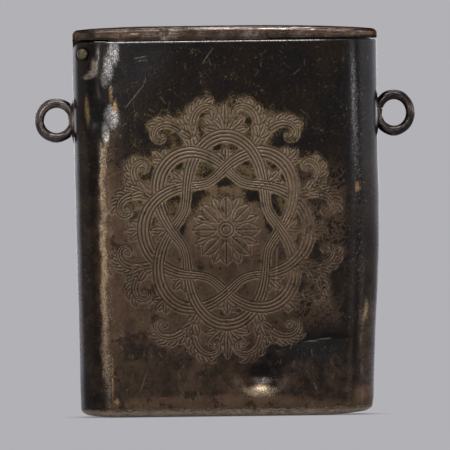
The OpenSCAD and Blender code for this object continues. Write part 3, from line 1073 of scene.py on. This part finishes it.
def make_base():
    """The base pan with its rounded lower edge and the seat of the striker."""
    flat = ring(0.0, BASE_EDGE_R, BASE_EDGE_R, BASE_STEPS)
    rings = [flat * (share, share, 1) for share in (0.02, 0.3, 0.6, 0.85, 0.97)]
    rows = []
    for angle in np.linspace(0, math.pi / 2, 10):
        rows.append((BASE_EDGE_R * (1 - math.cos(angle)), BASE_EDGE_R * (1 - math.sin(angle))))
    rows += [(BASE_H, 0.0), (BASE_H, WALL), (BASE_FLOOR, WALL)]
    rings += [ring(z, inset, inset, BASE_STEPS) for z, inset in rows]
    base = mesh_object("case_base", *loft(rings, closed=False))
    seat = striker_high + SEAT_GAP
    cut_away(base, [prism("seat", box_outline(-seat[:2], seat[:2]), 2, -1, seat[2])])
    points = points_of(base)
    x, z = points[:, 0], points[:, 2]
    low_edge = soft_step(BASE_H + 0.2, 0.4, z) * soft_step(1.5, 0.2, plan_frame(points)[0])
    wear, gold = worn_share(x, z, BASE_WORN_SPOTS)
    mark(
        base,
        # The pale band along the lower edge is wear and also a painted reflection of the floor
        wear=np.maximum(0.52 * low_edge, wear),
        gold=np.maximum(0.6, gold),
        rub=np.maximum(spots_at(x, z, BROWN_PATCHES, BROWN_EDGE), 0.9 * low_edge),
        soft=1.0,
        cut=0.5 * soft_step(BASE_H - 0.08, BASE_H - 0.02, z) * soft_step(2, 10, x),
    )
    points[:, 0] += side_bow(points)
    points[:, 2] += foot_lift(x) * soft_step(BASE_H, 0.0, z)
    put_points(base, points)
    finish = tarnished_silver("base_finish", clouds=(3, 1, 1), speckled=0.8)
    settle(base, finish, "case", "base_pan", sharp=40)


PIN_STEPS = 40
PIN_END = (
    # How far within the pin's end a ring lies, its share of the radius, and how uneven it is
    (-0.03, 0.05, 0.0),
    (-0.02, 0.45, 0.0),
    (0.02, 0.8, 0.5),
    (0.12, 0.97, 1.0),
    (0.4, 1.0, 0.0),
)


def make_pin():
    """The hinge pin, with its two ends peened over by hand."""
    turn = full_turn(PIN_STEPS)
    worn = 0.025 * (1 + np.sin(2 * turn + 0.6)) + 0.015 * (1 + np.sin(5 * turn))
    rows = [(within - pin_high[1], share, uneven) for within, share, uneven in PIN_END]
    rows += [(-y, share, uneven) for y, share, uneven in rows[::-1]]
    rings = []
    for y, share, uneven in rows:
        reach = PIN_R * share * (1 - uneven * worn)
        x, z = PIN_X + reach * np.cos(turn), PIN_Z - reach * np.sin(turn)
        rings.append(np.stack([x, np.full(len(turn), y), z], 1))
    pin = mesh_object("pin", *loft(rings, closed=False))
    settle(pin, brass("pin_finish"), "case", "hinge_pin")


WIRE_R = 0.65
LOOP_HOLE_R = 1.6
LOOP_R = LOOP_HOLE_R + WIRE_R - 0.08
LOOP_STEPS = 120
WIRE_STEPS = 28
LOOP_SLIT = np.array([(-2.6, 0.42), (-1.2, 0.5), (-1.2, 0.62), (-2.6, 0.54)])
SOLDER_STEPS = 72
SOLDER_SINK = 0.12
FILLET_Y = 0.75
FILLET_Z = 2.1
# By side: how a loop is drawn out of round, how bright it is and how far solder fills it
LOOP_STRETCH = {-1: (1.0, 1.0), 1: (0.95, 1.05)}
LOOP_LIGHTNESS = {-1: 2.3, 1: 1.15}
LOOP_FILLET = {-1: 0.38, 1: 0.42}


def put_on_side(piece, side):
    """Mirrors a piece that was made for the right side if it belongs on the left."""
    put_points(piece, points_of(piece) * (side, 1, 1))
    if side < 0:
        piece.data.flip_normals()


def make_loop(side, name, node):
    """A wire loop, worn flat inside, with its foot filed to meet the solder."""
    low, high = node_box(node)
    foot, tip = sorted((abs(low[0]), abs(high[0])))
    stretch_x, stretch_z = LOOP_STRETCH[side]
    middle_x = tip - stretch_x * (LOOP_R + WIRE_R)
    middle_z = (low[2] + high[2]) / 2
    lean = full_turn(WIRE_STEPS)
    rings = []
    for turn in full_turn(LOOP_STEPS):
        thick = WIRE_R * (1 + 0.04 * math.sin(3 * turn + side) + 0.03 * math.sin(7 * turn))
        reach = np.maximum(LOOP_R + thick * np.cos(lean), LOOP_HOLE_R)
        x = middle_x + stretch_x * reach * math.cos(turn)
        z = middle_z + stretch_z * reach * math.sin(turn)
        rings.append(np.stack([x, thick * np.sin(lean), z], 1))
    loop = mesh_object(name, *loft(rings, closed=True))
    behind = box_outline((foot - 3, -3), (foot, 3))
    cutters = [prism("foot", behind, 2, middle_z - 5, middle_z + 5)]
    if side > 0:
        cutters.append(prism("slit", LOOP_SLIT + (middle_x, middle_z), 1, -2, 2))
    cut_away(loop, cutters)
    put_on_side(loop, side)
    settle(loop, loop_silver(name + "_finish", LOOP_LIGHTNESS[side]), "case", node)


def make_solder(side, name, node):
    """The solder that joins a loop to the narrow side, drawn up against the wire's foot."""
    low, high = node_box(node)
    thick, half_wide, half_len = (high - low) / (1, 2, 2)
    middle_z = (low[2] + high[2]) / 2
    seat = min(abs(low[0]), abs(high[0]))
    turn = full_turn(SOLDER_STEPS)
    rings = []
    for share in np.linspace(1, 0.02, 16):
        y = half_wide * share * np.cos(turn)
        z = half_len * share * np.sin(turn)
        dome = thick * (1 - share ** 2.5)
        fillet = LOOP_FILLET[side] * (1 - share ** 2)
        fillet = fillet * np.exp(-(y / FILLET_Y) ** 4 - (z / FILLET_Z) ** 4)
        lumps = 0.05 * np.sin(3.1 * z + 2.0 * y + side) * (1 - share)
        rings.append(np.stack([seat + dome + fillet + lumps, y, middle_z + z], 1))
    back = rings[0].copy()
    back[:, 0] = seat - SOLDER_SINK
    solder = mesh_object(name, *loft([back] + rings, closed=False))
    put_on_side(solder, side)
    finish = solder_brown(name + "_finish", LOOP_LIGHTNESS[side])
    settle(solder, finish, "case", node, sharp=60)


# Materials

class Nodes:
    """The nodes of a material, put together step by step."""

    def __init__(self, name):
        self.material = bpy.data.materials.new(name)
        self.material.use_nodes = True
        self.tree = self.material.node_tree
        self.surface = self.tree.nodes["Principled BSDF"]

    def feed(self, node, sockets):
        """Links a node's sockets to others, or sets them to numbers, colours or vectors."""
        for name, value in sockets.items():
            if isinstance(value, bpy.types.NodeSocket):
                self.tree.links.new(value, node.inputs[name])
            elif isinstance(value, tuple):
                node.inputs[name].default_value = (*value, 1.0)
            else:
                node.inputs[name].default_value = value

    def add(self, kind, sockets, **settings):
        """A new node with its settings, and what goes into its sockets."""
        node = self.tree.nodes.new(kind)
        for name, value in settings.items():
            setattr(node, name, value)
        self.feed(node, sockets)
        return node

    def math(self, operation, first, second):
        """Two numbers put together."""
        return self.add("ShaderNodeMath", {0: first, 1: second}, operation=operation).outputs[0]

    def mix(self, share, first, second):
        """A colour between two colours."""
        return self.add("ShaderNodeMix", {0: share, 6: first, 7: second}, data_type="RGBA").outputs[2]


class Finish(Nodes):
    """A metal whose look depends on places on the part, with lengths in millimetres."""

    def __init__(self, name):
        super().__init__(name)
        place = self.add("ShaderNodeTexCoord", {}).outputs["Object"]
        scale = self.add("ShaderNodeVectorMath", {0: place, "Scale": 1 / MM}, operation="SCALE")
        self.place = scale.outputs[0]

    def noise(self, size, detail=3.0, rough=0.55, stretch=(1, 1, 1), lean=0.0, shift=0.0):
        """Cloudy numbers about 0.5, with features of a size that may be stretched and leant."""
        turned = {
            "Vector": self.place,
            "Location": Vector((shift, shift, shift)),
            "Rotation": Vector((0.0, lean, 0.0)),
            "Scale": size * Vector(stretch),
        }
        mapping = self.add("ShaderNodeMapping", turned, vector_type="TEXTURE")
        clouds = {"Vector": mapping.outputs[0], "Scale": 1.0, "Detail": detail, "Roughness": rough}
        return self.add("ShaderNodeTexNoise", clouds).outputs[0]

    def height(self):
        """Height above the foot of the case."""
        return self.add("ShaderNodeSeparateXYZ", {0: self.place}).outputs["Z"]

    def mark(self, name):
        """A number kept at the points of the mesh."""
        return self.add("ShaderNodeAttribute", {}, attribute_name=name).outputs["Fac"]

    def times(self, first, second):
        """The product of two numbers."""
        return self.math("MULTIPLY", first, second)

    def rise(self, value, low, high, to_low=0.0, to_high=1.0):
        """Smooth rise of a number between two values."""
        limits = {"From Min": low, "From Max": high, "To Min": to_low, "To Max": to_high}
        sockets = {"Value": value, **limits}
        return self.add("ShaderNodeMapRange", sockets, interpolation_type="SMOOTHSTEP").outputs[0]

    def blend(self, share, first, second):
        """A number between two numbers."""
        return self.add("ShaderNodeMix", {0: share, 2: first, 3: second}, data_type="FLOAT").outputs[0]

    def two_tone(self, size, low, high, dark, pale, detail=4.0):
        """Clouds of a size that turn from one colour to another between two values of a noise."""
        return self.mix(self.rise(self.noise(size, detail), low, high), dark, pale)

    def uneven(self, size, low, high, detail=4.0):
        """A number that varies between two values."""
        return self.rise(self.noise(size, detail), 0.3, 0.7, low, high)

    def bump(self, height, depth):
        """Fine relief of a depth."""
        relief = self.add("ShaderNodeBump", {"Height": height, "Distance": depth * MM, "Strength": 1.0})
        self.feed(self.surface, {"Normal": relief.outputs[0]})

    def finish(self, colour, roughness):
        """Sets the metal's colour and roughness."""
        self.feed(self.surface, {"Base Color": colour, "Roughness": roughness, "Metallic": 1.0})
        return self.material


TARNISH_BROWN = (0.0235, 0.0174, 0.0130)
TARNISH_BLACK = (0.0165, 0.0140, 0.0135)
TARNISH_GREY = (0.0210, 0.0205, 0.0215)
RUBBED_BROWN = (0.078, 0.048, 0.031)
RUBBED_PINK = (0.102, 0.062, 0.042)
RUBBED_PALE = (0.140, 0.095, 0.062)
RUBBED_OLIVE = (0.086, 0.062, 0.034)
MOTTLE_BROWN = (0.030, 0.016, 0.010)
FRINGE_GOLD = (0.130, 0.090, 0.038)
# Tarnish in the engraved grooves, also used as painted shade round the pin and in the lid's gap
GROOVE_TARNISH_AND_SHADE = (0.018, 0.012, 0.008)
RIDGE_RUB_AND_HIGHLIGHT = (0.290, 0.228, 0.162)
SCRATCH_PALE = (0.260, 0.205, 0.155)
TANGLE_BROWN = (0.128, 0.083, 0.053)
WORN_GOLD = (0.480, 0.318, 0.155)
WORN_SILVER = (0.560, 0.535, 0.510)
WIRE_DARK = (0.032, 0.027, 0.025)
WIRE_PALE = (0.085, 0.068, 0.060)
SOLDER_DARK = (0.034, 0.026, 0.023)
SOLDER_PALE = (0.092, 0.066, 0.055)
BRASS_DARK = (0.070, 0.058, 0.036)
BRASS_PALE = (0.160, 0.134, 0.082)
INNER_DARK = (0.100, 0.082, 0.066)
INNER_PALE = (0.260, 0.225, 0.185)
STEEL_BLUE = (0.060, 0.062, 0.072)
STEEL_BROWN = (0.130, 0.105, 0.085)
SCRAPED_DARK = (0.120, 0.098, 0.080)
SCRAPED_PALE = (0.300, 0.265, 0.225)
MATCH_DUST = (0.040, 0.026, 0.018)


def tarnish_colour(look):
    """Tarnish: black and brown clouds, greyer at the edges, with clusters of pale specks."""
    clouds = look.rise(look.noise(6.0, detail=4.0, shift=3.0), 0.38, 0.62)
    colour = look.mix(clouds, TARNISH_BROWN, TARNISH_BLACK)
    colour = look.mix(look.mark("cool"), colour, TARNISH_GREY)
    specks = look.rise(look.noise(0.26, detail=2.0, shift=11.0), 0.61, 0.72)
    clusters = look.rise(look.noise(2.4, detail=3.0, shift=21.0), 0.46, 0.62)
    return look.mix(look.times(specks, clusters), colour, RUBBED_PALE)


def rubbed_colour(look):
    """Rubbed metal: brown, paler where its edge is crisp, and mottled."""
    colour = look.mix(look.rise(look.noise(3.5, shift=5.0), 0.4, 0.62), RUBBED_BROWN, RUBBED_PINK)
    olive = look.rise(look.noise(2.6, detail=4.0, shift=33.0), 0.5, 0.62, 0.0, 0.7)
    colour = look.mix(olive, colour, RUBBED_OLIVE)
    colour = look.mix(look.mark("soft"), RUBBED_PALE, colour)
    blotches = look.rise(look.noise(1.5, detail=6.0, rough=0.72, shift=8.0), 0.55, 0.60, 0.0, 0.85)
    colour = look.mix(blotches, colour, MOTTLE_BROWN)
    grains = look.rise(look.noise(0.3, rough=0.7, shift=27.0), 0.55, 0.7, 0.0, 0.55)
    return look.mix(grains, colour, MOTTLE_BROWN)


def roughened(look, share, noise, reach):
    """A share made uneven by a noise."""
    return look.math("ADD", share, look.times(look.math("SUBTRACT", noise, 0.5), reach))


def hair_scratches(look, grain):
    """Fine scratches that cross each other, most of them where the face is scuffed."""
    strands = 0.0
    for lean, shift in ((0.15, 31.0), (-0.6, 37.0), (0.9, 41.0)):
        strand = look.noise(0.08, detail=1.0, stretch=grain, lean=lean, shift=shift)
        strands = look.math("MAXIMUM", look.rise(strand, 0.64, 0.76), strands)
    return look.times(strands, look.blend(look.mark("scuff"), 0.08, 0.4))


def tangled_scratches(look):
    """Curled scratches that cross each other, like hair."""
    strands = 0.0
    for lean, shift in ((0.5, 51.0), (-0.4, 57.0), (1.2, 61.0)):
        field = look.noise(0.95, detail=2.0, stretch=(1, 1, 2.4), lean=lean, shift=shift)
        off_line = look.math("ABSOLUTE", look.math("SUBTRACT", field, 0.5), 0.0)
        strands = look.math("MAXIMUM", look.rise(off_line, 0.05, 0.015), strands)
    return look.times(strands, look.mark("tangle"))


def tarnished_silver(name, grain=(1, 1, 24), clouds=(1, 1, 1), speckled=1.1, slant=(0.94, 0.94, 0.98)):
    """Old silver: black tarnish, brown where rubbed, bright where worn or where a highlight is painted,
    and scratched along its grain.

    Its worn places are more or less speckled. The slant is its tint where it is seen at a low angle.
    """
    look = Finish(name)
    look.feed(look.surface, {"Specular Tint": slant})
    soft = look.mark("soft")
    ragged = roughened(look, look.mark("rub"), look.noise(0.26, detail=4.0, rough=0.8), 1.6)
    ragged = roughened(look, ragged, look.noise(1.7, detail=2.0, shift=44.0), 1.3)
    cloud = look.noise(1.6, detail=5.0, rough=0.65, stretch=clouds, shift=14.0)
    cloudy = roughened(look, look.mark("rub"), cloud, 1.1)
    bare = look.blend(soft, look.rise(ragged, 0.40, 0.62), look.rise(cloudy, 0.1, 0.95))
    colour = look.mix(bare, tarnish_colour(look), rubbed_colour(look))
    fringe = look.math("SUBTRACT", look.rise(ragged, 0.26, 0.44), look.rise(ragged, 0.5, 0.75))
    fringe = look.times(fringe, look.blend(soft, 0.6, 0.0))
    colour = look.mix(fringe, colour, FRINGE_GOLD)
    kept = look.rise(look.noise(1.2, shift=67.0), 0.36, 0.58, 0.6, 1.0)
    grooves = look.rise(look.mark("cut"), 0.35, 0.85)
    # Pale edges beside the grooves are rubbed metal and also a painted highlight
    colour = look.mix(look.times(look.mark("beside"), kept), colour, RIDGE_RUB_AND_HIGHLIGHT)
    # Tarnish in the grooves, and painted shade where the cut mark stands for a gap or the pin's shadow
    colour = look.mix(look.times(grooves, kept), colour, GROOVE_TARNISH_AND_SHADE)
    scratched = look.math("MAXIMUM", look.mark("scratch"), hair_scratches(look, grain))
    colour = look.mix(scratched, colour, SCRATCH_PALE)
    colour = look.mix(look.times(tangled_scratches(look), 0.55), colour, TANGLE_BROWN)
    patches = look.noise(0.34, rough=0.7, stretch=clouds, shift=71.0)
    wear = look.times(look.mark("wear"), look.rise(patches, 0.38, 0.62, 0.8, 1.15))
    speckle = look.noise(0.15, rough=0.8, stretch=clouds, shift=17.0)
    worn = look.rise(roughened(look, wear, speckle, speckled), 0.1, 0.75)
    # Worn metal, and the painted highlights and reflections that the wear mark carries
    colour = look.mix(worn, colour, look.mix(look.mark("gold"), WORN_SILVER, WORN_GOLD))
    roughness = roughened(look, look.blend(bare, 0.24, 0.34), look.noise(0.5, detail=4.0), 0.14)
    look.bump(look.noise(0.16, rough=0.6, stretch=(1, 1, 2.0)), 0.014)
    return look.finish(colour, roughness)


def brighter(colour, lightness):
    """A colour scaled by a factor."""
    return tuple(lightness * tone for tone in colour)


def loop_silver(name, lightness):
    """Handled silver wire: dark, smooth, a little brown, made lighter or darker as a whole by a factor.
    """
    look = Finish(name)
    colour = look.two_tone(1.2, 0.4, 0.65, brighter(WIRE_DARK, lightness), brighter(WIRE_PALE, lightness))
    look.bump(look.noise(0.15), 0.004)
    return look.finish(colour, look.uneven(0.4, 0.16, 0.30))


def solder_brown(name, lightness):
    """Old solder with a brown bloom, made lighter or darker as a whole by a factor."""
    look = Finish(name)
    colour = look.two_tone(0.7, 0.4, 0.65, brighter(SOLDER_DARK, lightness), brighter(SOLDER_PALE, lightness))
    look.bump(look.noise(0.2), 0.02)
    return look.finish(colour, look.uneven(0.3, 0.35, 0.55))


def brass(name):
    """Dull, clouded brass of the pin."""
    look = Finish(name)
    colour = look.two_tone(0.4, 0.35, 0.65, BRASS_DARK, BRASS_PALE)
    look.bump(look.noise(0.12, stretch=(1, 1, 3)), 0.01)
    return look.finish(colour, look.uneven(0.25, 0.38, 0.55, detail=3.0))


def inner_silver(name):
    """Paler silver of the pieces inside, with painted shade in the gap where the lid's edge meets the
    rim.
    """
    look = Finish(name)
    height = look.height()
    over_rim = look.rise(height, RIM_Z - 2.0, RIM_Z - 0.3)
    under_lid = look.rise(height, LID_Z + 0.5, LID_Z + 0.25)
    colour = look.two_tone(1.6, 0.38, 0.66, INNER_DARK, INNER_PALE)
    # Painted shade over the rim and under the lid's edge
    colour = look.mix(look.times(over_rim, under_lid), colour, GROOVE_TARNISH_AND_SHADE)
    look.bump(look.noise(0.2, stretch=(3, 3, 1)), 0.006)
    return look.finish(colour, look.uneven(0.5, 0.3, 0.46))


def spring_steel(name):
    """Blued steel of the spring and its rivets."""
    look = Finish(name)
    colour = look.two_tone(1.1, 0.4, 0.62, STEEL_BLUE, STEEL_BROWN)
    look.bump(look.noise(0.2, stretch=(1, 1, 4)), 0.006)
    return look.finish(colour, look.uneven(0.4, 0.3, 0.5))


def struck_silver(name):
    """Ribbed striker, scraped pale on its ribs with match dust between them."""
    look = Finish(name)
    dust = look.rise(look.height(), striker_low[2] + 0.03, striker_low[2] + 0.17)
    scraped = look.two_tone(0.8, 0.4, 0.6, SCRAPED_DARK, SCRAPED_PALE, detail=5.0)
    look.bump(look.noise(0.15, stretch=(1, 4, 1)), 0.012)
    return look.finish(look.mix(dust, scraped, MATCH_DUST), look.uneven(0.3, 0.35, 0.6))


# Stage, lights and camera

BACKDROP = (0.445, 0.440, 0.467)
FLOOR_SHADE = (0.190, 0.187, 0.197)
FLOOR_HALF = 3.0
SHADE_REACH = 0.003
AIM = Vector((0.0, 0.0, 0.025))
CAMERA_DISTANCE = 1.1
SENSOR_MM = 36.0


def floor_finish(name):
    """Pale grey that shows as bright as the backdrop, with shade close under the case."""
    look = Nodes(name)
    rays = look.add("ShaderNodeLightPath", {}).outputs
    mirrored = look.math("MAXIMUM", rays["Is Glossy Ray"], rays["Is Transmission Ray"])
    seen = look.math("MAXIMUM", rays["Is Camera Ray"], mirrored)
    open_share = look.add("ShaderNodeAmbientOcclusion", {"Distance": SHADE_REACH}).outputs["AO"]
    glow = look.add("ShaderNodeEmission", {"Color": look.mix(open_share, FLOOR_SHADE, BACKDROP)})
    matt = look.add("ShaderNodeBsdfDiffuse", {"Color": BACKDROP})
    chosen = look.add("ShaderNodeMixShader", {0: seen, 1: matt.outputs[0], 2: glow.outputs[0]})
    look.tree.nodes.remove(look.surface)
    look.feed(look.tree.nodes["Material Output"], {"Surface": chosen.outputs[0]})
    return look.material


def make_floor():
    """Floor that meets the backdrop without a line and keeps the shade under the case."""
    half = FLOOR_HALF / MM
    corners = [(-half, -half, 0), (half, -half, 0), (half, half, 0), (-half, half, 0)]
    floor = mesh_object("floor", corners, [(0, 1, 2, 3)])
    dress(floor, floor_finish("floor_finish"))


def make_world():
    """The same pale grey on all sides."""
    world = bpy.data.worlds.new("studio")
    world.use_nodes = True
    ground = world.node_tree.nodes["Background"]
    ground.inputs["Color"].default_value = (*BACKDROP, 1.0)
    ground.inputs["Strength"].default_value = 1.0
    bpy.context.scene.world = world


def softbox(name, azimuth, elevation, distance, width, height, radiance):
    """A soft lamp aimed at the case, placed by angles right of the camera and above the horizon."""
    turn, lift = math.radians(azimuth), math.radians(elevation)
    away = Vector((math.sin(turn) * math.cos(lift), -math.cos(turn) * math.cos(lift), math.sin(lift)))
    lamp = bpy.data.lights.new(name, "AREA")
    lamp.shape = "RECTANGLE"
    lamp.size = width
    lamp.size_y = height
    lamp.energy = radiance * math.pi * width * height
    holder = scene_object(name, lamp)
    holder.location = AIM + distance * away
    holder.rotation_euler = (-away).to_track_quat("-Z", "Y").to_euler()


def make_lights():
    """Plain studio light: lamps overhead, beside the camera, beside the case and behind it."""
    softbox("overhead", -5, 50, 1.2, 0.6, 0.35, 6.0)
    softbox("top", 0, 98, 1.0, 0.5, 0.4, 4.0)
    softbox("left_key", -14, 4, 1.6, 0.18, 0.9, 6.0)
    softbox("right_key", 20, 4, 1.6, 0.34, 0.9, 2.6)
    softbox("left_side", -85, 6, 1.1, 0.8, 0.9, 0.5)
    softbox("right_side", 88, 6, 1.1, 2.0, 0.9, 1.7)
    softbox("left_back", -132, 6, 1.1, 0.6, 0.9, 1.8)
    softbox("right_back", 145, 6, 1.1, 0.7, 0.9, 0.8)
    softbox("back_key_left", -164, 4, 1.6, 0.2, 0.9, 3.0)
    softbox("back_key_right", 158, 4, 1.6, 0.34, 0.9, 1.5)


def make_camera():
    """A long lens level with the middle of the case, rolled as in the photograph."""
    middle_px = FRAME_PX / 2
    aim_x = (middle_px - CASE_MIDDLE_PX) * PX
    aim_z = (CASE_FOOT_PX - middle_px) * PX
    camera = bpy.data.cameras.new("camera")
    camera.sensor_width = SENSOR_MM
    camera.lens = SENSOR_MM * CAMERA_DISTANCE / (FRAME_PX * PX * MM)
    camera.clip_start = 0.01
    camera.clip_end = 20.0
    holder = scene_object("camera", camera)
    holder.location = (aim_x * MM, -CAMERA_DISTANCE, aim_z * MM)
    holder.rotation_euler = (math.pi / 2, CASE_ROLL, 0)
    bpy.context.scene.camera = holder


bpy.context.scene.view_settings.view_transform = "Standard"
make_camera()
make_world()
make_lights()
make_floor()

make_body(cut_ornament(), cut_scratches())
make_lid()
make_base()
make_pin()
for side, word in ((-1, "left"), (1, "right")):
    make_loop(side, "loop_" + word, word + "_loop_ring")
    make_solder(side, "solder_" + word, word + "_loop_saddle")

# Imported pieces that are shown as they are
inner = inner_silver("inner_finish")
steel = spring_steel("spring_finish")
shown = {"mouth_collar": inner, "hinge_knuckle": inner, "lid_spring": steel, "spring_rivets": steel}
shown["striker_plate"] = struck_silver("striker_finish")
for node, finish in shown.items():
    dress(frame["nodes"][node], finish)
